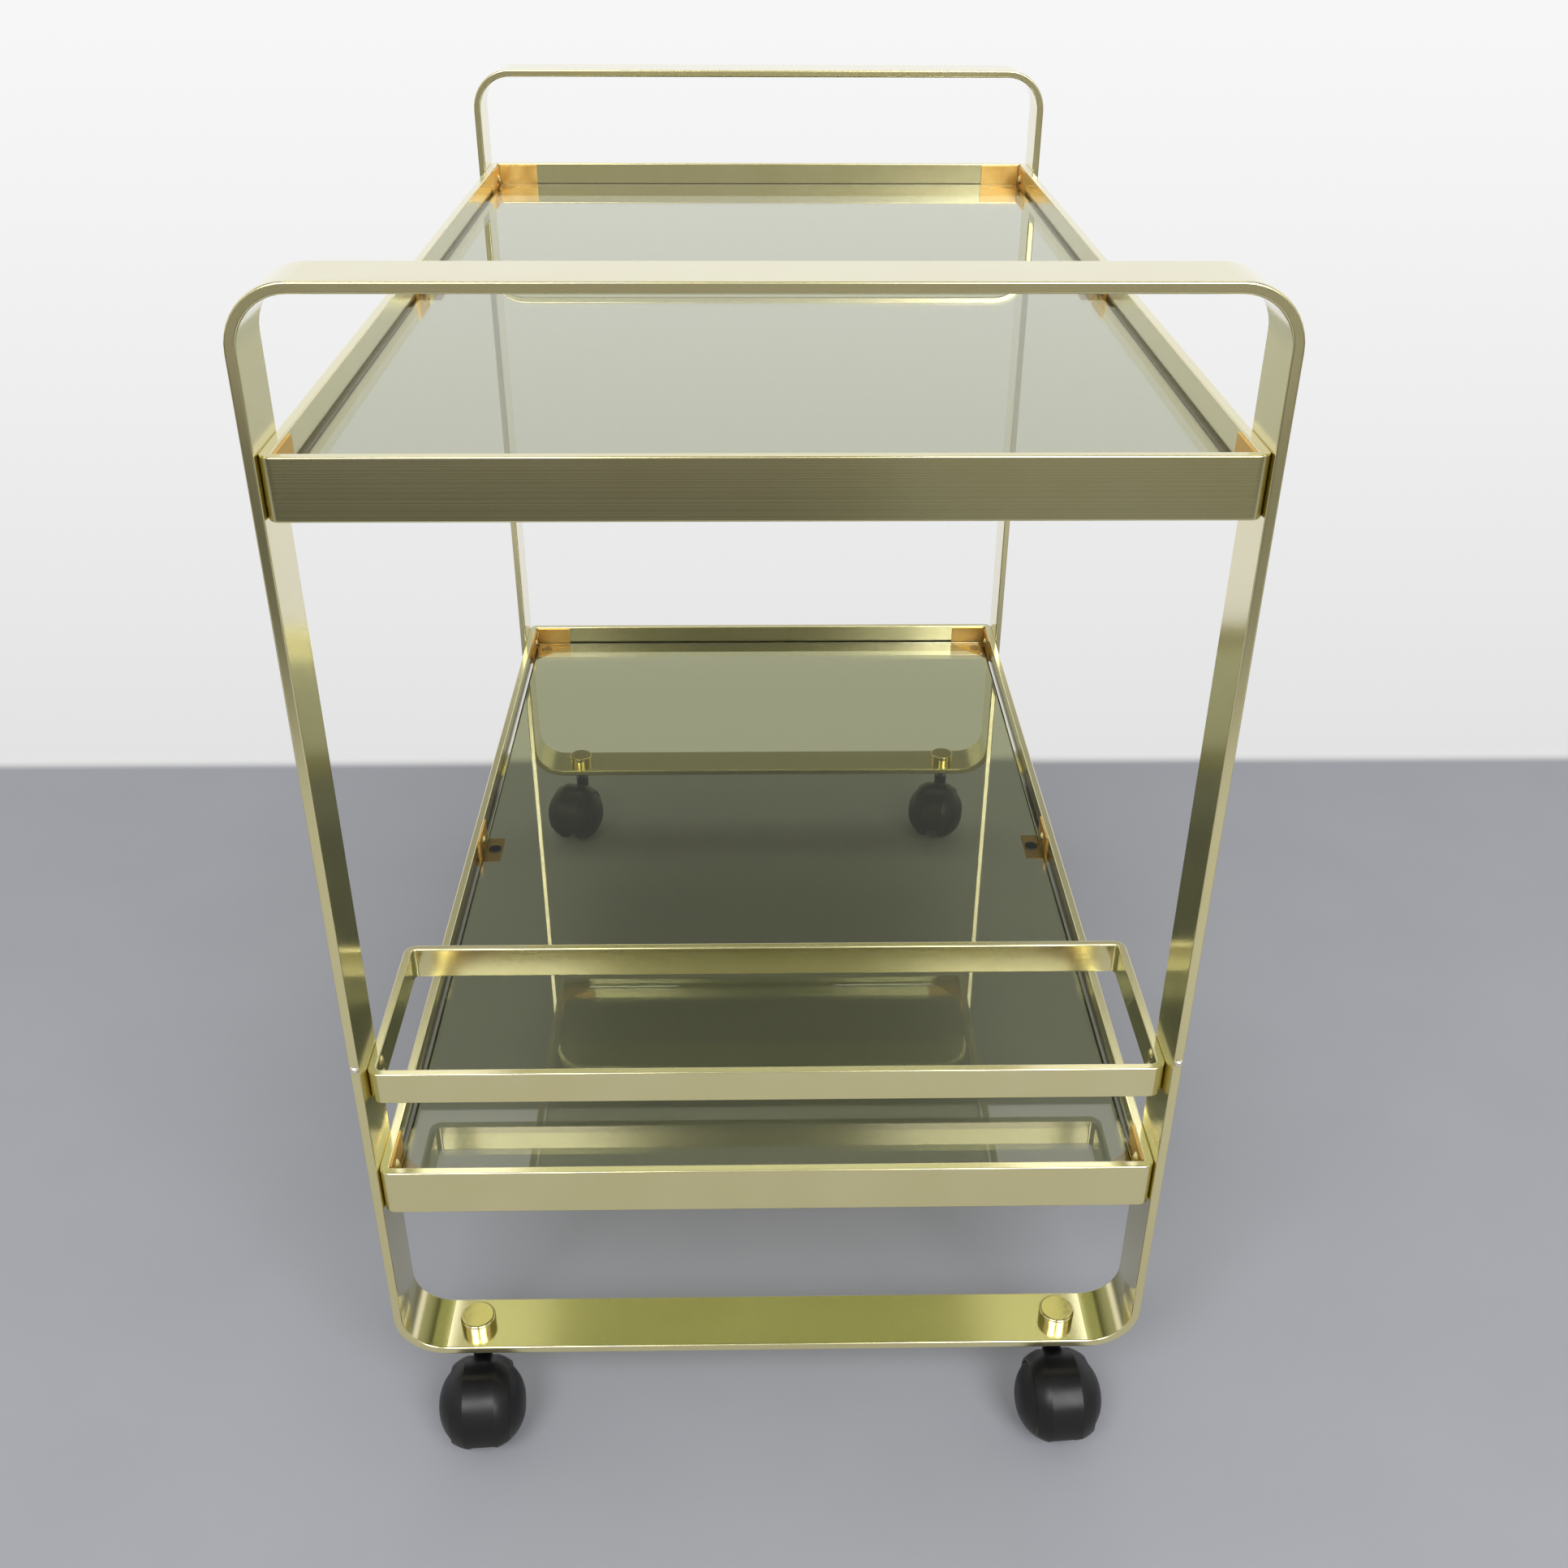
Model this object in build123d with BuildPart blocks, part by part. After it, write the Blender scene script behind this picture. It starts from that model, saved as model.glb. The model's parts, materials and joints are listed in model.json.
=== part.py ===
from build123d import *
import os
from math import cos, radians, sin, sqrt

os.makedirs("parts", exist_ok=True)

# Two-tier bar cart. Two bent flat-bar hoops carry two glass trays and a bottle rail,
# and each hoop stands on two ball-shaped swivel casters.
# Millimetres, +X to the right, +Y to the rear, +Z up, floor at Z = 0.
# The origin is on the floor under the middle of the whole cart, whose front casters trail to the front.

# Hoops
frame_width = 428.0
frame_length = 694.0
hoop_height = 609.0
hoop_bar_width = 36.0
hoop_bar_thickness = 5.0
hoop_corner_radius = 28.0

# Tray rims, and where they sit on the hoops
rim_height = 28.5
rim_thickness = 5.0
rim_bend_radius = 6.0
rim_setback = 0.8
upper_rim_drop = 70.4
lower_rim_rise = 141.2

# Glass and what it lies on
glass_thickness = 5.0
glass_corner_radius = 3.0
glass_edge_chamfer = 0.8
pad_radius = 4.5
pad_thickness = 1.0
pad_inset = 10.0
sheet_thickness = 1.0
bracket_leg = 30.0
bracket_lift = 6.5
flange_drop = 1.5
flange_clearance = 0.4
clip_length = 30.0
clip_depth = 14.0
clip_pad_inset = 8.5

# Bottle rail
bottle_rail_height = 19.5
bottle_rail_thickness = 4.5
bottle_rail_length = 113.0
bottle_rail_bend_radius = 7.0
bottle_rail_setback = 8.0
bottle_rail_rise = 62.8
bottle_rail_rivet_pitch = 9.0

# Tray screws, driven from inside a tray into tapped holes in the hoops
screw_radius = 2.0
screw_head_radius = 3.6
screw_head_height = 2.0
screw_headroom = 1.5
screw_skin = 1.0
screw_end_gap = 0.3
screw_slot_width = 1.0
screw_slot_depth = 0.9
screw_hole_clearance = 0.15
thread_clearance = 0.05

# Round-headed screws in the front edges of the front hoop, above the bottle rail
edge_screw_radius = 1.25
edge_screw_depth = 8.0
edge_screw_head_radius = 2.4
edge_screw_head_height = 2.0
edge_screw_rise = 10.5

# Rivets
rivet_radius = 1.8
rivet_head_radius = 3.4
rivet_head_height = 1.5
rivet_hole_clearance = 0.05

# Caster fastening on the foot bars
caster_inset = 44.0
stem_thread_radius = 5.0
stem_end_gap = 0.5
stem_collar_radius = 9.0
stem_collar_height = 3.0
stem_neck_radius = 5.5
stem_end_chamfer = 0.8
cap_nut_radius = 10.2
cap_nut_height = 7.5
cap_nut_top = 1.5
cap_nut_edge_round = 1.4

# Caster swivel
trail = 22.0
pin_radius = 4.0
pin_depth = 30.0
bore_bottom_gap = 1.0
swivel_clearance = 0.05
swivel_gap = 0.2
ring_height = 8.0
ring_thickness = 1.4
ring_inner_radius = 3.3
ring_outer_radius = 4.4
ring_opening = 2.5
ring_play = 0.15
ring_running_gap = 0.3
boss_radius = 5.5
boss_bottom_rise = 2.0
boss_rise = 27.2

# Caster wheels and hood
wheel_radius = 25.0
wheel_tread = 1.5
wheel_hub_radius = 2.3
wheel_side_gap = 0.7
wheel_edge_chamfer = 0.5
caster_width = 50.0
axle_radius = 3.0
axle_reach = 20.0
axle_fit = 0.02
axle_clearance = 0.05
axle_end_gap = 0.5
axle_end_chamfer = 0.5
axle_groove_depth = 0.4
axle_groove_width = 1.4
axle_groove_reach = 17.0
snap_clearance = 0.15
snap_play = 0.2
body_width = 12.0
axle_housing_radius = 8.0
hood_width = 34.0
hood_wall = 1.3
hood_clearance = 0.5
hood_front_angle = 13.5
hood_stem_angle = 25.0
hood_headroom = 11.2

# How far the casters are turned about their stems, in degrees, from trailing straight to the front
caster_turns = {"front": 4.0, "rear": -15.0}

# Softened arrises
bar_edge_round = 1.0
rim_edge_round = 0.8

# Across a caster: the wheels' domes and the hood's sides are arcs about the same centre
body_half = body_width / 2
hood_half = hood_width / 2
wheel_inside = body_half + wheel_side_gap
wheel_outside = caster_width / 2
tread_start = wheel_inside + wheel_edge_chamfer
tread_end = tread_start + wheel_tread
dome_width = wheel_outside - tread_end
dome_height = wheel_radius - wheel_hub_radius
dome_radius = (dome_width**2 + dome_height**2) / (2 * dome_width)
dome_x = wheel_outside - dome_radius
hood_inner_radius = wheel_radius + hood_clearance
hood_radius = hood_inner_radius + hood_wall
hood_arc_inside = dome_radius + hood_clearance
hood_arc_outside = hood_arc_inside + hood_wall


def arc_side(radius):
    """Where an arc about the dome's centre meets the side of the hood."""
    return (hood_half, wheel_hub_radius + sqrt(radius**2 - (hood_half - dome_x) ** 2))


def arc_crown(radius, level):
    """Where an arc about the dome's centre comes up to the round middle of the hood."""
    return (dome_x + sqrt(radius**2 - (level - wheel_hub_radius) ** 2), level)


# Heights, from the floor up
foot_bottom = wheel_radius + hood_radius + hood_headroom
foot_top = foot_bottom + hoop_bar_thickness
hoop_middle = foot_bottom + hoop_height / 2
upper_rim_bottom = foot_bottom + hoop_height - upper_rim_drop - rim_height
lower_rim_bottom = foot_bottom + lower_rim_rise - rim_height
bottle_rail_bottom = lower_rim_bottom + rim_height + bottle_rail_rise - bottle_rail_height

# Heights inside a tray, above the bottom edge of its rim
plate_top_level = bracket_lift + sheet_thickness
glass_level = plate_top_level + pad_thickness
screw_level = glass_level + glass_thickness + screw_headroom + screw_head_radius
flange_top_level = rim_height - flange_drop

# Places along and across the cart
stem_inset = hoop_bar_width / 2
front_turn = radians(caster_turns["front"])
crown_half, _ = arc_crown(hood_arc_outside, hood_radius)
caster_reach = (trail + hood_radius) * cos(front_turn) + crown_half * sin(abs(front_turn))
caster_overhang = caster_reach - stem_inset
frame_middle = caster_overhang / 2
front_edge = frame_middle - frame_length / 2
rear_edge = frame_middle + frame_length / 2
caster_x = frame_width / 2 - caster_inset
front_stem = front_edge + stem_inset
rear_stem = rear_edge - stem_inset
rim_width = frame_width - 2 * hoop_bar_thickness
rim_length = frame_length - 2 * rim_setback
well_x = rim_width / 2 - rim_thickness
well_y = rim_length / 2 - rim_thickness
bottle_rail_middle = front_edge + bottle_rail_setback + bottle_rail_length / 2
bottle_rail_overlap_start = bottle_rail_setback + bottle_rail_bend_radius
bottle_rail_rivet_y = front_edge + (bottle_rail_overlap_start + hoop_bar_width) / 2
bottle_rail_level = bottle_rail_bottom + bottle_rail_height / 2
bottle_rail_rivet_places = [(bottle_rail_rivet_y, bottle_rail_level - bottle_rail_rivet_pitch / 2),
                            (bottle_rail_rivet_y, bottle_rail_level + bottle_rail_rivet_pitch / 2)]
edge_screw_x = (frame_width - hoop_bar_thickness) / 2
edge_screw_level = bottle_rail_bottom + bottle_rail_height + edge_screw_rise

trays = {"upper": upper_rim_bottom, "lower": lower_rim_bottom}
ends = {"front": (front_stem, -1), "rear": (rear_stem, 1)}
sides = {"left": -1, "right": 1}


def save(builder, name):
    """Label a finished piece and write its file."""
    builder.part.label = name
    export_step(builder.part, f"parts/{name}.step")


def facing(side_sign, place):
    """A place whose local +X points to the right (1) or to the left (-1)."""
    return Location(place, (0, 0, 0 if side_sign > 0 else 180))


def bent_loop(width, length, thickness, bend_radius):
    """The outline of a closed loop of flat bar, centred on its sketch plane."""
    with BuildSketch() as loop:
        RectangleRounded(width, length, bend_radius)
        inside_width = width - 2 * thickness
        inside_length = length - 2 * thickness
        RectangleRounded(inside_width, inside_length, bend_radius - thickness, mode=Mode.SUBTRACT)
    return loop.sketch


def cross_holes(radius, places, reach=frame_width):
    """Bars along X that drill both sides of a piece at each (y, z), as far out as X = reach."""
    with BuildPart() as holes:
        with Locations(*[(0, y, z) for y, z in places]):
            Cylinder(radius, 2 * reach, rotation=(0, 90, 0))
    return holes.part


def dome_head(radius, height):
    """A low domed head that stands on the plane X = 0 and rises along +X."""
    with BuildPart() as head:
        with BuildSketch():
            with BuildLine():
                Polyline((height, 0), (0, 0), (0, radius))
                RadiusArc((0, radius), (height, 0), (radius**2 + height**2) / (2 * height))
            make_face()
        revolve(axis=Axis.X)
    return head.part


# Hoops
tapped_hole = screw_radius + thread_clearance
tapped_reach = frame_width / 2 - screw_skin
rivet_hole = rivet_radius + rivet_hole_clearance
bottle_rail_holes = cross_holes(rivet_hole, bottle_rail_rivet_places)


def bent_hoop(edge, stem_y):
    """A closed hoop of flat bar whose front edge is at Y = edge, drilled for tray screws and caster stems."""
    with BuildPart() as hoop:
        with BuildSketch(Plane.XZ.offset(-edge)):
            with Locations((0, hoop_middle)):
                add(bent_loop(frame_width, hoop_height, hoop_bar_thickness, hoop_corner_radius))
        extrude(amount=-hoop_bar_width)
        fillet(hoop.edges().group_by(Axis.Y)[0] + hoop.edges().group_by(Axis.Y)[-1], bar_edge_round)
        tray_screw_rows = [(stem_y, bottom + screw_level) for bottom in trays.values()]
        add(cross_holes(tapped_hole, tray_screw_rows, tapped_reach), mode=Mode.SUBTRACT)
        with Locations((-caster_x, stem_y, foot_bottom), (caster_x, stem_y, foot_bottom)):
            Cylinder(stem_thread_radius + screw_hole_clearance, 4 * hoop_bar_thickness, mode=Mode.SUBTRACT)
    return hoop.part


with BuildPart() as front_hoop:
    add(bent_hoop(front_edge, front_stem))
    add(bottle_rail_holes, mode=Mode.SUBTRACT)
    with BuildSketch(Plane.XZ.offset(-front_edge)):
        with Locations((-edge_screw_x, edge_screw_level), (edge_screw_x, edge_screw_level)):
            Circle(edge_screw_radius + thread_clearance)
    extrude(amount=-edge_screw_depth, mode=Mode.SUBTRACT)
save(front_hoop, "front_hoop")

with BuildPart() as rear_hoop:
    add(bent_hoop(rear_edge - hoop_bar_width, rear_stem))
save(rear_hoop, "rear_hoop")

# Bottle rail
with BuildPart() as bottle_rail:
    with BuildSketch(Plane.XY.offset(bottle_rail_bottom)):
        with Locations((0, bottle_rail_middle)):
            add(bent_loop(rim_width, bottle_rail_length, bottle_rail_thickness, bottle_rail_bend_radius))
    extrude(amount=bottle_rail_height)
    fillet(bottle_rail.edges().group_by(Axis.Z)[0] + bottle_rail.edges().group_by(Axis.Z)[-1], rim_edge_round)
    add(bottle_rail_holes, mode=Mode.SUBTRACT)
save(bottle_rail, "bottle_rail")


# Fasteners that are used more than once
def rivet(grip):
    """A rivet along X, with one head outside X = 0 and the other inside X = -grip."""
    with BuildPart() as piece:
        add(dome_head(rivet_head_radius, rivet_head_height))
        with Locations(Location((-grip, 0, 0), (0, 0, 180))):
            add(dome_head(rivet_head_radius, rivet_head_height))
        with Locations((-grip / 2, 0, 0)):
            Cylinder(rivet_radius, grip, rotation=(0, 90, 0))
    return piece.part


flange_face = well_x - sheet_thickness
tray_screw_length = tapped_reach - screw_end_gap - flange_face

with BuildPart() as tray_screw:
    with Locations(Location((0, 0, 0), (0, 0, 180))):
        add(dome_head(screw_head_radius, screw_head_height))
    with Locations((-screw_head_height, 0, 0)):
        Box(2 * screw_slot_depth, 3 * screw_head_radius, screw_slot_width, mode=Mode.SUBTRACT)
    with Locations((tray_screw_length / 2, 0, 0)):
        Cylinder(screw_radius, tray_screw_length, rotation=(0, 90, 0))

with BuildPart() as bottle_rail_rivets:
    with Locations(*[facing(s, (s * frame_width / 2, y, z))
                     for s in sides.values() for y, z in bottle_rail_rivet_places]):
        add(rivet(hoop_bar_thickness + bottle_rail_thickness))
save(bottle_rail_rivets, "bottle_rail_rivets")

with BuildPart() as edge_screw:
    add(dome_head(edge_screw_head_radius, edge_screw_head_height))
    with Locations((-edge_screw_depth / 2, 0, 0)):
        Cylinder(edge_screw_radius, edge_screw_depth, rotation=(0, 90, 0))

with BuildPart() as edge_screws:
    with Locations(*[Location((s * edge_screw_x, front_edge, edge_screw_level), (0, 0, -90))
                     for s in sides.values()]):
        add(edge_screw.part)
save(edge_screws, "edge_screws")

# Trays
tray_screw_hole = screw_radius + screw_hole_clearance
glass_edge_gap = sheet_thickness + flange_clearance
flange_height = flange_top_level - bracket_lift
bracket_corner_cut = rim_bend_radius - rim_thickness + sheet_thickness
bracket_flange_length = bracket_leg - bracket_corner_cut
bracket_flange_middle = (bracket_leg + bracket_corner_cut) / 2


def corner_bracket(side_sign, end_sign, bottom, holes):
    """A three-cornered plate under the glass, with flanges up the rim's long side and up its end."""
    def inward(u, v):
        """A point u in from the tray's long side and v in from its end."""
        return (side_sign * (well_x - u), frame_middle + end_sign * (well_y - v))

    with BuildPart() as bracket:
        with BuildSketch(Plane.XY.offset(bottom + bracket_lift)):
            with BuildLine():
                Polyline(
                    inward(bracket_corner_cut, 0),
                    inward(bracket_leg, 0),
                    inward(0, bracket_leg),
                    inward(0, bracket_corner_cut),
                    close=True,
                )
            make_face()
        extrude(amount=sheet_thickness)
        with BuildSketch(Plane.XY.offset(bottom + bracket_lift)):
            with Locations(inward(sheet_thickness / 2, bracket_flange_middle)):
                Rectangle(sheet_thickness, bracket_flange_length)
            with Locations(inward(bracket_flange_middle, sheet_thickness / 2)):
                Rectangle(bracket_flange_length, sheet_thickness)
        extrude(amount=flange_height)
        add(holes, mode=Mode.SUBTRACT)
    return bracket


def side_clip(side_sign, bottom, holes):
    """A short shelf under the glass, with a flange up the middle of the rim's long side."""
    shelf_x = side_sign * (well_x - clip_depth / 2)
    flange_x = side_sign * (well_x - sheet_thickness / 2)
    with BuildPart() as clip:
        with Locations((shelf_x, frame_middle, bottom + plate_top_level - sheet_thickness / 2)):
            Box(clip_depth, clip_length, sheet_thickness)
        with Locations((flange_x, frame_middle, bottom + bracket_lift + flange_height / 2)):
            Box(sheet_thickness, clip_length, flange_height)
        add(holes, mode=Mode.SUBTRACT)
    return clip


def pad_places(bottom):
    """Where the glass is carried: near each tray corner and at the middle of each long side."""
    level = bottom + plate_top_level + pad_thickness / 2
    for side_sign in sides.values():
        yield (side_sign * (well_x - clip_pad_inset), frame_middle, level)
        for _, end_sign in ends.values():
            yield (side_sign * (well_x - pad_inset), frame_middle + end_sign * (well_y - pad_inset), level)


for tray, bottom in trays.items():
    screw_height = bottom + screw_level
    screw_rows = [(stem_y, screw_height) for stem_y, _ in ends.values()]
    screw_holes = cross_holes(tray_screw_hole, screw_rows)
    clip_holes = cross_holes(rivet_hole, [(frame_middle, screw_height)])

    with BuildPart() as tray_rim:
        with BuildSketch(Plane.XY.offset(bottom)):
            with Locations((0, frame_middle)):
                add(bent_loop(rim_width, rim_length, rim_thickness, rim_bend_radius))
        extrude(amount=rim_height)
        fillet(tray_rim.edges().group_by(Axis.Z)[0] + tray_rim.edges().group_by(Axis.Z)[-1], rim_edge_round)
        add([screw_holes, clip_holes], mode=Mode.SUBTRACT)
    save(tray_rim, f"{tray}_tray_rim")

    with BuildPart() as glass:
        with BuildSketch(Plane.XY.offset(bottom + glass_level)):
            with Locations((0, frame_middle)):
                RectangleRounded(
                    2 * (well_x - glass_edge_gap),
                    2 * (well_y - glass_edge_gap),
                    glass_corner_radius,
                )
        extrude(amount=glass_thickness)
        chamfer(glass.edges().group_by(Axis.Z)[0] + glass.edges().group_by(Axis.Z)[-1], glass_edge_chamfer)
    save(glass, f"{tray}_glass")

    for side, side_sign in sides.items():
        save(side_clip(side_sign, bottom, clip_holes), f"{tray}_{side}_clip")
        for end, (_, end_sign) in ends.items():
            save(corner_bracket(side_sign, end_sign, bottom, screw_holes), f"{tray}_{end}_{side}_bracket")

    with BuildPart() as pads:
        with Locations(*pad_places(bottom)):
            Cylinder(pad_radius, pad_thickness)
    save(pads, f"{tray}_glass_pads")

    with BuildPart() as tray_screws:
        with Locations(*[facing(s, (s * flange_face, y, z)) for s in sides.values() for y, z in screw_rows]):
            add(tray_screw.part)
    save(tray_screws, f"{tray}_tray_screws")

    with BuildPart() as clip_rivets:
        with Locations(*[facing(s, (s * rim_width / 2, frame_middle, screw_height)) for s in sides.values()]):
            add(rivet(rim_thickness + sheet_thickness))
    save(clip_rivets, f"{tray}_clip_rivets")

# One caster: the stem stands on the Z axis, and the hood has its axle at the origin and trails towards -Y
boss_top = wheel_radius + boss_rise
collar_bottom = foot_bottom - stem_collar_height
pin_bottom = boss_top - pin_depth
ring_bottom = pin_bottom + ring_height
stem_top = foot_top + cap_nut_height - cap_nut_top - stem_end_gap

with BuildPart() as stem:
    with BuildSketch(Plane.XZ):
        with BuildLine():
            Polyline(
                (0, pin_bottom),
                (pin_radius - stem_end_chamfer, pin_bottom),
                (pin_radius, pin_bottom + stem_end_chamfer),
                (pin_radius, boss_top + swivel_gap),
                (stem_neck_radius, boss_top + swivel_gap),
                (stem_neck_radius, collar_bottom),
                (stem_collar_radius, collar_bottom),
                (stem_collar_radius, foot_bottom),
                (stem_thread_radius, foot_bottom),
                (stem_thread_radius, stem_top - stem_end_chamfer),
                (stem_thread_radius - stem_end_chamfer, stem_top),
                (0, stem_top),
                close=True,
            )
        make_face()
    revolve(axis=Axis.Z)
    with BuildSketch(Plane.XY.offset(ring_bottom - ring_play)):
        Circle(2 * pin_radius)
        Circle(ring_inner_radius - ring_play, mode=Mode.SUBTRACT)
    extrude(amount=ring_thickness + 2 * ring_play, mode=Mode.SUBTRACT)

with BuildPart() as stem_ring:
    with BuildSketch(Plane.XY.offset(ring_bottom)):
        Circle(ring_outer_radius)
        Circle(ring_inner_radius, mode=Mode.SUBTRACT)
        with Locations((0, -ring_outer_radius)):
            Rectangle(ring_opening, 2 * ring_outer_radius, mode=Mode.SUBTRACT)
    extrude(amount=ring_thickness)

with BuildPart() as hood:
    with BuildSketch(Plane.XY.rotated((-hood_stem_angle, 0, 0))):
        with BuildLine():
            crown_inside = arc_crown(hood_arc_inside, hood_inner_radius)
            crown_outside = arc_crown(hood_arc_outside, hood_radius)
            Line(arc_side(hood_arc_outside), arc_side(hood_arc_inside))
            RadiusArc(crown_inside, arc_side(hood_arc_inside), hood_arc_inside)
            Polyline(
                crown_inside,
                (body_half, hood_inner_radius),
                (body_half, axle_radius),
                (0, axle_radius),
                (0, hood_radius),
                crown_outside,
            )
            RadiusArc(crown_outside, arc_side(hood_arc_outside), hood_arc_outside)
        make_face()
        mirror(about=Plane.YZ)
    revolve(axis=Axis.X, revolution_arc=180 + hood_front_angle + hood_stem_angle)
    Cylinder(axle_housing_radius, body_width, rotation=(0, 90, 0))
    with BuildSketch(Plane.XY.offset(boss_bottom_rise)):
        with Locations((0, trail)):
            Circle(boss_radius)
    extrude(amount=boss_rise - boss_bottom_rise)
    Cylinder(axle_radius + axle_fit, 2 * body_width, rotation=(0, 90, 0), mode=Mode.SUBTRACT)
    with BuildSketch(Plane.XY.offset(boss_rise)):
        with Locations((0, trail)):
            Circle(pin_radius + swivel_clearance)
    extrude(amount=-pin_depth - bore_bottom_gap, mode=Mode.SUBTRACT)
    with BuildSketch(Plane.XY.offset(ring_bottom - ring_running_gap - wheel_radius)):
        with Locations((0, trail)):
            Circle(ring_outer_radius + ring_running_gap)
    extrude(amount=ring_thickness + 2 * ring_running_gap, mode=Mode.SUBTRACT)

# Axle and wheel lie along X, with the middle of the axle at the origin
groove_near = axle_groove_reach - axle_groove_width / 2
groove_far = axle_groove_reach + axle_groove_width / 2
groove_radius = axle_radius - axle_groove_depth
bore_radius = axle_radius + axle_clearance
bore_end = axle_reach + axle_end_gap

with BuildPart() as axle:
    with BuildSketch():
        with BuildLine():
            Polyline(
                (0, 0),
                (0, axle_radius),
                (groove_near, axle_radius),
                (groove_near, groove_radius),
                (groove_far, groove_radius),
                (groove_far, axle_radius),
                (axle_reach - axle_end_chamfer, axle_radius),
                (axle_reach, axle_radius - axle_end_chamfer),
                (axle_reach, 0),
                close=True,
            )
        make_face()
        mirror(about=Plane.YZ)
    revolve(axis=Axis.X)

with BuildPart() as wheel:
    with BuildSketch():
        with BuildLine():
            Polyline(
                (wheel_outside, wheel_hub_radius),
                (wheel_outside, 0),
                (bore_end, 0),
                (bore_end, bore_radius),
                (groove_far - snap_play, bore_radius),
                (groove_far - snap_play, groove_radius + snap_clearance),
                (groove_near + snap_play, groove_radius + snap_clearance),
                (groove_near + snap_play, bore_radius),
                (wheel_inside, bore_radius),
                (wheel_inside, wheel_radius - wheel_edge_chamfer),
                (tread_start, wheel_radius),
                (tread_end, wheel_radius),
            )
            RadiusArc((tread_end, wheel_radius), (wheel_outside, wheel_hub_radius), dome_radius)
        make_face()
    revolve(axis=Axis.X)

# Round closed nut that holds a caster's stem on its foot bar
with BuildPart() as cap_nut:
    with BuildSketch(Plane.XY.offset(foot_top)):
        Circle(cap_nut_radius)
    extrude(amount=cap_nut_height)
    fillet(cap_nut.edges().group_by(Axis.Z)[-1], cap_nut_edge_round)
    with BuildSketch(Plane.XY.offset(foot_top)):
        Circle(stem_thread_radius + thread_clearance)
    extrude(amount=cap_nut_height - cap_nut_top, mode=Mode.SUBTRACT)


def place_caster(corner, stem_x, stem_y, turn):
    """Write the pieces of one caster, turned about its stem."""
    with BuildPart() as caster_stem:
        with Locations((stem_x, stem_y)):
            add(stem.part)
    save(caster_stem, f"{corner}_caster_stem")

    with BuildPart() as caster_ring:
        with Locations((stem_x, stem_y)):
            add(stem_ring.part)
    save(caster_ring, f"{corner}_caster_ring")

    on_axle = Location((stem_x, stem_y, 0), (0, 0, turn)) * Location((0, -trail, wheel_radius))
    with BuildPart() as caster_hood:
        with Locations(on_axle):
            add(hood.part)
    save(caster_hood, f"{corner}_caster_hood")

    with BuildPart() as caster_axle:
        with Locations(on_axle):
            add(axle.part)
    save(caster_axle, f"{corner}_caster_axle")

    for wheel_side, side_sign in sides.items():
        with BuildPart() as caster_wheel:
            with Locations(on_axle * facing(side_sign, (0, 0, 0))):
                add(wheel.part)
        save(caster_wheel, f"{corner}_caster_{wheel_side}_wheel")


for end, (stem_y, _) in ends.items():
    for side, side_sign in sides.items():
        place_caster(f"{end}_{side}", side_sign * caster_x, stem_y, caster_turns[end])

with BuildPart() as cap_nuts:
    with Locations(*[(s * caster_x, stem_y) for stem_y, _ in ends.values() for s in sides.values()]):
        add(cap_nut.part)
save(cap_nuts, "caster_cap_nuts")
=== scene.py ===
import json
import math

import bmesh
import bpy
from mathutils import Matrix, Vector

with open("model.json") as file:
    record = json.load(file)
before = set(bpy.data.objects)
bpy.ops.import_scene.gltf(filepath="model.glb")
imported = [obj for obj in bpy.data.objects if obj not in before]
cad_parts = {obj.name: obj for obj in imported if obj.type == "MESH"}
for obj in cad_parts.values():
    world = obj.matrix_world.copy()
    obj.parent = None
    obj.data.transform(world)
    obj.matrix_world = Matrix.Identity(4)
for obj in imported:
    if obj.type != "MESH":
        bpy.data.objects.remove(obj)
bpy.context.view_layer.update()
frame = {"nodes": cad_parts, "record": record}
nodes = frame["nodes"]
scene = bpy.context.scene
scene.view_settings.view_transform = "Standard"
# Light runs to and fro in the narrow gaps between bent bars and legs, which look gold to their bottom
scene.cycles.glossy_bounces = 12

MM = 0.001
# Sockets of a node that mixes colours: its share of the second colour, both colours, and the result
SHARE, FIRST, SECOND, MIXED = 0, 6, 7, 2


def linear(hex_colour):
    """An sRGB hex colour as the linear values that the shaders take."""
    channels = [int(hex_colour[i:i + 2], 16) / 255 for i in (1, 3, 5)]
    return [c / 12.92 if c <= 0.04045 else ((c + 0.055) / 1.055) ** 2.4 for c in channels] + [1.0]


def add_node(tree, kind, inputs=None, **settings):
    """Add a node with its settings, and set or link its inputs."""
    made = tree.nodes.new(kind)
    for name, value in settings.items():
        setattr(made, name, value)
    for socket, value in (inputs or {}).items():
        if isinstance(value, bpy.types.NodeSocket):
            tree.links.new(value, made.inputs[socket])
        else:
            made.inputs[socket].default_value = value
    return made


def new_material(name):
    """An empty material: its node tree, and its one shader."""
    made = bpy.data.materials.new(name)
    made.use_nodes = True
    made.node_tree.nodes.clear()
    shader = add_node(made.node_tree, "ShaderNodeBsdfPrincipled")
    add_node(made.node_tree, "ShaderNodeOutputMaterial", {"Surface": shader.outputs[0]})
    return made, made.node_tree, shader


def link(tree, source, shader, socket):
    """Feed one socket of a shader."""
    tree.links.new(source, shader.inputs[socket])


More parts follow.
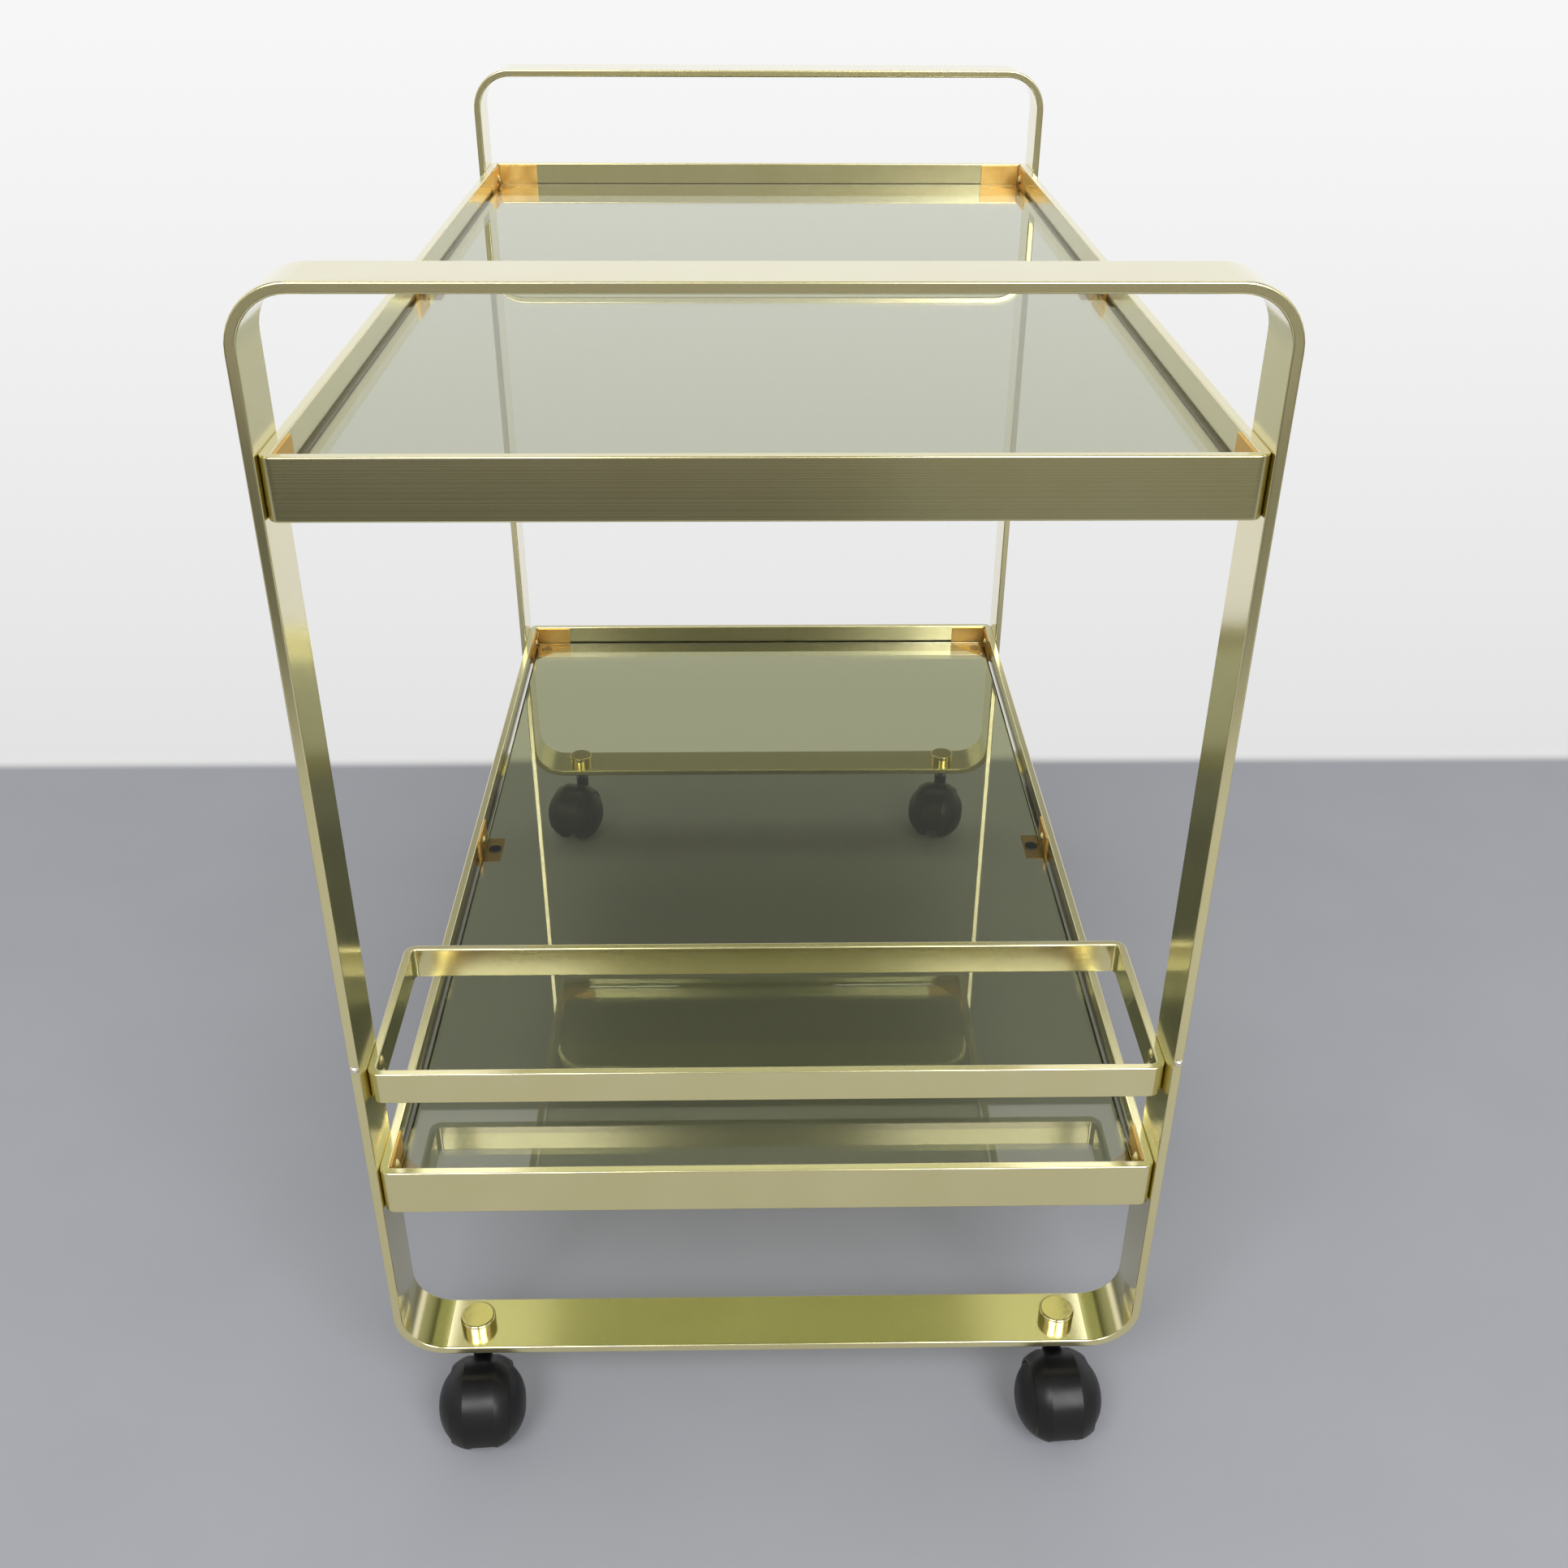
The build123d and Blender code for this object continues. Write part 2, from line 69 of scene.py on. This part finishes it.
def brushed_gold(name, across, light, dark, rough_low, rough_high):
    """Gold anodised aluminium flat bar, drawn and lightly brushed along its length.

    Fine lines along the bar stretch what it mirrors across the bar, the dye is a little uneven, and
    the clear oxide layer on top mirrors more sharply.
    """
    line_width = 0.6 * MM
    line_depth = 0.02 * MM
    cloud_size = 45 * MM
    made, tree, shader = new_material(name)
    place = add_node(tree, "ShaderNodeTexCoord").outputs["Object"]
    split = add_node(tree, "ShaderNodeSeparateXYZ", {0: place})
    line = add_node(
        tree, "ShaderNodeTexNoise",
        {"W": split.outputs[across], "Scale": 1 / line_width, "Detail": 3.0}, noise_dimensions="1D",
    )
    cloud = add_node(
        tree, "ShaderNodeTexNoise", {"Vector": place, "Scale": 1 / cloud_size, "Detail": 2.0},
    )
    tone = add_node(
        tree, "ShaderNodeMix",
        {SHARE: cloud.outputs[0], FIRST: linear(dark), SECOND: linear(light)}, data_type="RGBA",
    )
    link(tree, tone.outputs[MIXED], shader, "Base Color")
    rough = add_node(
        tree, "ShaderNodeMapRange",
        {"Value": line.outputs[0], "From Min": 0.3, "From Max": 0.7,
         "To Min": rough_low, "To Max": rough_high},
    )
    link(tree, rough.outputs[0], shader, "Roughness")
    bump = add_node(
        tree, "ShaderNodeBump",
        {"Height": line.outputs[0], "Strength": 0.25, "Distance": line_depth},
    )
    link(tree, bump.outputs[0], shader, "Normal")
    shader.inputs["Metallic"].default_value = 1.0
    shader.inputs["Coat Weight"].default_value = 1.0
    shader.inputs["Coat Roughness"].default_value = 0.12
    shader.inputs["Coat IOR"].default_value = 1.6
    return made


def smoked_glass(name, tint):
    """Float glass, smoked olive grey: dark but clear, with bright mirror images at a low angle."""
    smear_size = 60 * MM
    smear_rough = 0.03
    made, tree, shader = new_material(name)
    place = add_node(tree, "ShaderNodeTexCoord").outputs["Object"]
    smear = add_node(
        tree, "ShaderNodeTexNoise", {"Vector": place, "Scale": 1 / smear_size, "Detail": 4.0},
    )
    rough = add_node(
        tree, "ShaderNodeMapRange",
        {"Value": smear.outputs[0], "From Min": 0.35, "From Max": 0.75,
         "To Min": 0.0, "To Max": smear_rough},
    )
    link(tree, rough.outputs[0], shader, "Roughness")
    shader.inputs["Base Color"].default_value = linear(tint)
    shader.inputs["Transmission Weight"].default_value = 1.0
    shader.inputs["IOR"].default_value = 1.5
    return made


def moulded_plastic(name, light, dark, rough_low, rough_high):
    """Black nylon, injection moulded: nearly black, a soft sheen and a fine even grain."""
    grain_size = 0.5 * MM
    grain_depth = 0.02 * MM
    cloud_size = 12 * MM
    made, tree, shader = new_material(name)
    place = add_node(tree, "ShaderNodeTexCoord").outputs["Object"]
    grain = add_node(
        tree, "ShaderNodeTexNoise", {"Vector": place, "Scale": 1 / grain_size, "Detail": 2.0},
    )
    cloud = add_node(
        tree, "ShaderNodeTexNoise", {"Vector": place, "Scale": 1 / cloud_size, "Detail": 3.0},
    )
    tone = add_node(
        tree, "ShaderNodeMix",
        {SHARE: cloud.outputs[0], FIRST: linear(dark), SECOND: linear(light)}, data_type="RGBA",
    )
    link(tree, tone.outputs[MIXED], shader, "Base Color")
    rough = add_node(
        tree, "ShaderNodeMapRange",
        {"Value": cloud.outputs[0], "From Min": 0.3, "From Max": 0.7,
         "To Min": rough_low, "To Max": rough_high},
    )
    link(tree, rough.outputs[0], shader, "Roughness")
    bump = add_node(
        tree, "ShaderNodeBump",
        {"Height": grain.outputs[0], "Strength": 0.3, "Distance": grain_depth},
    )
    link(tree, bump.outputs[0], shader, "Normal")
    shader.inputs["Specular IOR Level"].default_value = 0.35
    return made


def plated_metal(name, patch_size, light, dark, rough_low, rough_high):
    """Plated steel, turned, headed or folded: bright, with uneven patches in the plating."""
    made, tree, shader = new_material(name)
    place = add_node(tree, "ShaderNodeTexCoord").outputs["Object"]
    cloud = add_node(
        tree, "ShaderNodeTexNoise", {"Vector": place, "Scale": 1 / patch_size, "Detail": 3.0},
    )
    tone = add_node(
        tree, "ShaderNodeMix",
        {SHARE: cloud.outputs[0], FIRST: linear(dark), SECOND: linear(light)}, data_type="RGBA",
    )
    link(tree, tone.outputs[MIXED], shader, "Base Color")
    rough = add_node(
        tree, "ShaderNodeMapRange",
        {"Value": cloud.outputs[0], "From Min": 0.3, "From Max": 0.7,
         "To Min": rough_low, "To Max": rough_high},
    )
    link(tree, rough.outputs[0], shader, "Roughness")
    shader.inputs["Metallic"].default_value = 1.0
    return made


def clear_vinyl():
    """Soft clear vinyl pads: milky, and lit through by what is around them."""
    cloud_size = 2 * MM
    made, tree, shader = new_material("clear soft vinyl")
    place = add_node(tree, "ShaderNodeTexCoord").outputs["Object"]
    cloud = add_node(tree, "ShaderNodeTexNoise", {"Vector": place, "Scale": 1 / cloud_size})
    rough = add_node(
        tree, "ShaderNodeMapRange", {"Value": cloud.outputs[0], "To Min": 0.3, "To Max": 0.5},
    )
    link(tree, rough.outputs[0], shader, "Roughness")
    shader.inputs["Base Color"].default_value = linear("#e4e4de")
    shader.inputs["Transmission Weight"].default_value = 0.6
    shader.inputs["IOR"].default_value = 1.5
    return made


gold_light = "#e6dfae"
gold_dark = "#dcd29a"
hoop_gold = brushed_gold("gold anodised aluminium, hoops", "Y", gold_light, gold_dark, 0.14, 0.22)
rim_gold = brushed_gold("gold anodised aluminium, rims", "Z", gold_light, gold_dark, 0.14, 0.22)
yellow_zinc = plated_metal("yellow zinc plated steel", 9 * MM, "#f4d588", "#e8ad50", 0.34, 0.50)
plated_gold = plated_metal("gold plated steel", 3 * MM, "#e6dca6", "#dccc8e", 0.08, 0.18)
bright_steel = plated_metal("polished steel", 3 * MM, "#f2eee0", "#e6e0cc", 0.18, 0.28)
zinc_steel = plated_metal("zinc plated steel", 3 * MM, "#b9bab8", "#a3a4a2", 0.22, 0.36)
hood_black = moulded_plastic("black nylon, hoods", "#0f0f12", "#09090b", 0.30, 0.40)
wheel_black = moulded_plastic("black nylon, wheels", "#0e0e11", "#08080a", 0.34, 0.46)

finishes = {
    "gold_bar": rim_gold,
    "gold_sheet": yellow_zinc,
    "gold_fastener": plated_gold,
    "bright_screw": bright_steel,
    "steel": zinc_steel,
    # The lower sheet is tinted darker and yellower than the upper sheet: painted shade, for the light
    # the upper tray keeps off it
    "smoked_glass": smoked_glass("smoked float glass, lower sheet in painted shade", "#b0b28e"),
    "clear_pad": clear_vinyl(),
    "black_hood": hood_black,
    "black_wheel": wheel_black,
}
upper_glass = smoked_glass("smoked float glass, upper sheet", "#b9bca6")
for subpart in frame["record"]["subparts"]:
    piece = nodes[subpart["node"]]
    finish = finishes[subpart["material_slot"]]
    if subpart["node"].endswith("_hoop"):
        finish = hoop_gold
    if subpart["node"] == "upper_glass":
        finish = upper_glass
    piece.data.materials.clear()
    piece.data.materials.append(finish)


def painted_floor():
    """Painted floor: mottled grey under the cart, a pale sweep behind it, and painted reflections in
    front, tones that only glossy rays see.
    """
    mottle_size = 120 * MM
    sweep_from, sweep_to = 0.455, 0.485
    # Places along Y and X where the painted reflections that only metal sees change their tone
    ahead_from, ahead_to = -0.33, -0.36
    strip_from, strip_to = -1.0, -1.5
    room_from, room_to = -2.1, -2.7
    right_from, right_to = 0.05, 0.3
    # Painted light: the sweep's glow follows one over its distance from the eye, brighter further
    # back
    eye_distance = 0.96
    nearness_far, nearness_near = 0.105, 0.685
    level_far, level_near = 0.93, 0.77

    made, tree, shader = new_material("painted floor")
    place = add_node(tree, "ShaderNodeTexCoord").outputs["Object"]
    split = add_node(tree, "ShaderNodeSeparateXYZ", {0: place})
    behind = add_node(
        tree, "ShaderNodeMapRange",
        {"Value": split.outputs["Y"], "From Min": sweep_from, "From Max": sweep_to},
        interpolation_type="SMOOTHSTEP",
    )
    mottle = add_node(
        tree, "ShaderNodeTexNoise", {"Vector": place, "Scale": 1 / mottle_size, "Detail": 3.0},
    )
    grey = add_node(
        tree, "ShaderNodeMix",
        {SHARE: mottle.outputs[0], FIRST: linear("#92939a"), SECOND: linear("#999aa1")},
        data_type="RGBA",
    )
    paint = add_node(
        tree, "ShaderNodeMix",
        {SHARE: behind.outputs[0], FIRST: grey.outputs[MIXED], SECOND: linear("#ededec")},
        data_type="RGBA",
    )
    ray = add_node(tree, "ShaderNodeLightPath")
    # Painted reflections, seen by glossy rays only: a painted sheen near the cart, then a painted
    # dark strip, then a painted lit room
    painted_reflection_zone = add_node(
        tree, "ShaderNodeMapRange",
        {"Value": split.outputs["Y"], "From Min": ahead_from, "From Max": ahead_to},
    )
    strip = add_node(
        tree, "ShaderNodeMapRange",
        {"Value": split.outputs["Y"], "From Min": strip_from, "From Max": strip_to},
        interpolation_type="SMOOTHSTEP",
    )
    room = add_node(
        tree, "ShaderNodeMapRange",
        {"Value": split.outputs["Y"], "From Min": room_from, "From Max": room_to},
        interpolation_type="SMOOTHSTEP",
    )
    to_right = add_node(
        tree, "ShaderNodeMapRange",
        {"Value": split.outputs["X"], "From Min": right_from, "From Max": right_to},
        interpolation_type="SMOOTHSTEP",
    )
    painted_strip_tone = add_node(
        tree, "ShaderNodeMix",
        {SHARE: to_right.outputs[0], FIRST: linear("#2e2f2d"), SECOND: linear("#52534e")},
        data_type="RGBA",
    )
    painted_sheen_tone = add_node(
        tree, "ShaderNodeMix",
        {SHARE: strip.outputs[0], FIRST: linear("#a6a6a6"), SECOND: painted_strip_tone.outputs[MIXED]},
        data_type="RGBA",
    )
    painted_reflection_tone = add_node(
        tree, "ShaderNodeMix",
        {SHARE: room.outputs[0], FIRST: painted_sheen_tone.outputs[MIXED], SECOND: linear("#a8a49e")},
        data_type="RGBA",
    )
    # Painted reflection: in front of the cart, glossy rays see these tones in place of the floor's
    # own grey
    painted_reflection_share = add_node(
        tree, "ShaderNodeMath", {0: painted_reflection_zone.outputs[0], 1: ray.outputs["Is Glossy Ray"]},
        operation="MULTIPLY",
    )
    colour_with_painted_reflection = add_node(
        tree, "ShaderNodeMix",
        {SHARE: painted_reflection_share.outputs[0], FIRST: paint.outputs[MIXED], SECOND: painted_reflection_tone.outputs[MIXED]},
        data_type="RGBA",
    )
    link(tree, colour_with_painted_reflection.outputs[MIXED], shader, "Base Color")
    shader.inputs["Roughness"].default_value = 0.75
    # Eye, metal and glass see the sweep as glowing paper, with painted light that grows brighter
    # further back
    distance = add_node(
        tree, "ShaderNodeMath", {0: split.outputs["Y"], 1: eye_distance}, operation="ADD",
    )
    nearness = add_node(
        tree, "ShaderNodeMath", {0: 1.0, 1: distance.outputs[0]}, operation="DIVIDE",
    )
    level = add_node(
        tree, "ShaderNodeMapRange",
        {"Value": nearness.outputs[0], "From Min": nearness_far, "From Max": nearness_near,
         "To Min": level_far, "To Max": level_near},
    )
    glowing_sweep = add_node(tree, "ShaderNodeEmission", {"Strength": level.outputs[0]})
    sharp = add_node(
        tree, "ShaderNodeMath",
        {0: ray.outputs["Is Camera Ray"], 1: ray.outputs["Is Glossy Ray"]}, operation="MAXIMUM",
    )
    direct = add_node(
        tree, "ShaderNodeMath",
        {0: sharp.outputs[0], 1: ray.outputs["Is Transmission Ray"]}, operation="MAXIMUM",
    )
    share = add_node(
        tree, "ShaderNodeMath", {0: direct.outputs[0], 1: behind.outputs[0]},
        operation="MULTIPLY",
    )
    surface = add_node(
        tree, "ShaderNodeMixShader",
        {0: share.outputs[0], 1: shader.outputs[0], 2: glowing_sweep.outputs[0]},
    )
    tree.links.new(surface.outputs[0], tree.nodes["Material Output"].inputs["Surface"])
    return made


floor_half = 16.0
floor_mesh = bpy.data.meshes.new("floor")
shape = bmesh.new()
bmesh.ops.create_grid(shape, x_segments=1, y_segments=1, size=floor_half)
shape.to_mesh(floor_mesh)
shape.free()
floor = bpy.data.objects.new("floor", floor_mesh)
scene.collection.objects.link(floor)
floor_mesh.materials.append(painted_floor())


def studio_world():
    """The room around: a pale wall behind, bright sides, a greyer band above, a duller front."""
    # Parts of the look direction where the room changes its tone
    back_from, back_to = -0.2, 0.5
    band_from, band_to = 0.38, 0.46
    side_from, side_to = 0.4, 0.7
    top_from, top_to = 0.5, 0.85

    world = bpy.data.worlds.new("studio")
    world.use_nodes = True
    tree = world.node_tree
    tree.nodes.clear()
    look = add_node(tree, "ShaderNodeTexCoord").outputs["Generated"]
    split = add_node(tree, "ShaderNodeSeparateXYZ", {0: look})
    to_back = add_node(
        tree, "ShaderNodeMapRange",
        {"Value": split.outputs["Y"], "From Min": back_from, "From Max": back_to},
        interpolation_type="SMOOTHSTEP",
    )
    to_top = add_node(
        tree, "ShaderNodeMapRange",
        {"Value": split.outputs["Z"], "From Min": top_from, "From Max": top_to},
        interpolation_type="SMOOTHSTEP",
    )
    lower = add_node(
        tree, "ShaderNodeMix",
        {SHARE: to_back.outputs[0], FIRST: linear("#c6c6c6"), SECOND: linear("#fafaf9")},
        data_type="RGBA",
    )
    to_band = add_node(
        tree, "ShaderNodeMapRange",
        {"Value": split.outputs["Z"], "From Min": band_from, "From Max": band_to},
        interpolation_type="SMOOTHSTEP",
    )
    aside = add_node(tree, "ShaderNodeMath", {0: split.outputs["X"]}, operation="ABSOLUTE")
    to_side = add_node(
        tree, "ShaderNodeMapRange",
        {"Value": aside.outputs[0], "From Min": side_from, "From Max": side_to},
        interpolation_type="SMOOTHSTEP",
    )
    band = add_node(
        tree, "ShaderNodeMix",
        {SHARE: to_side.outputs[0], FIRST: linear("#979894"), SECOND: linear("#f6f6f4")},
        data_type="RGBA",
    )
    wall = add_node(
        tree, "ShaderNodeMix",
        {SHARE: to_band.outputs[0], FIRST: lower.outputs[MIXED], SECOND: band.outputs[MIXED]},
        data_type="RGBA",
    )
    dome = add_node(
        tree, "ShaderNodeMix",
        {SHARE: to_top.outputs[0], FIRST: wall.outputs[MIXED], SECOND: linear("#b4b4b2")},
        data_type="RGBA",
    )
    ray = add_node(tree, "ShaderNodeLightPath")
    backdrop = add_node(
        tree, "ShaderNodeMix",
        {SHARE: ray.outputs["Is Camera Ray"], FIRST: dome.outputs[MIXED],
         SECOND: linear("#f2f2f1")},
        data_type="RGBA",
    )
    background = add_node(
        tree, "ShaderNodeBackground", {"Color": backdrop.outputs[MIXED], "Strength": 1.0},
    )
    add_node(tree, "ShaderNodeOutputWorld", {"Surface": background.outputs[0]})
    return world


scene.world = studio_world()


def area_lamp(name, place, aim, width, height, power):
    """A soft lamp of that size in metres and power in watts, which faces a point."""
    lamp = bpy.data.lights.new(name, "AREA")
    lamp.shape = "RECTANGLE"
    lamp.size = width
    lamp.size_y = height
    lamp.energy = power
    holder = bpy.data.objects.new(name, lamp)
    holder.location = place
    holder.rotation_euler = (Vector(aim) - Vector(place)).to_track_quat("-Z", "Y").to_euler()
    scene.collection.objects.link(holder)


cart_middle = (0.0, 0.0, 0.4)
area_lamp("ceiling softbox", (0.0, 1.6, 2.6), (0.0, 1.6, 0.0), 2.4, 1.6, 19.0)
area_lamp("front left softbox", (-0.9, -2.2, 2.25), cart_middle, 1.2, 1.1, 42.0)
area_lamp("front right softbox", (0.92, -2.2, 1.9), cart_middle, 1.2, 1.5, 48.0)

# Camera, as in the photograph
camera_place = (-0.00546, -0.95967, 0.81866)
camera_pitch = math.radians(30.664)
camera_yaw = math.radians(-1.172)
camera_roll = math.radians(0.285)
lens = bpy.data.cameras.new("camera")
lens.sensor_width = 36.0
lens.lens = 36.53
lens.clip_start = 0.01
camera = bpy.data.objects.new("camera", lens)
scene.collection.objects.link(camera)
camera.matrix_world = (
    Matrix.Translation(camera_place)
    @ Matrix.Rotation(camera_yaw, 4, "Z")
    @ Matrix.Rotation(math.pi / 2 - camera_pitch, 4, "X")
    @ Matrix.Rotation(camera_roll, 4, "Z")
)
scene.camera = camera
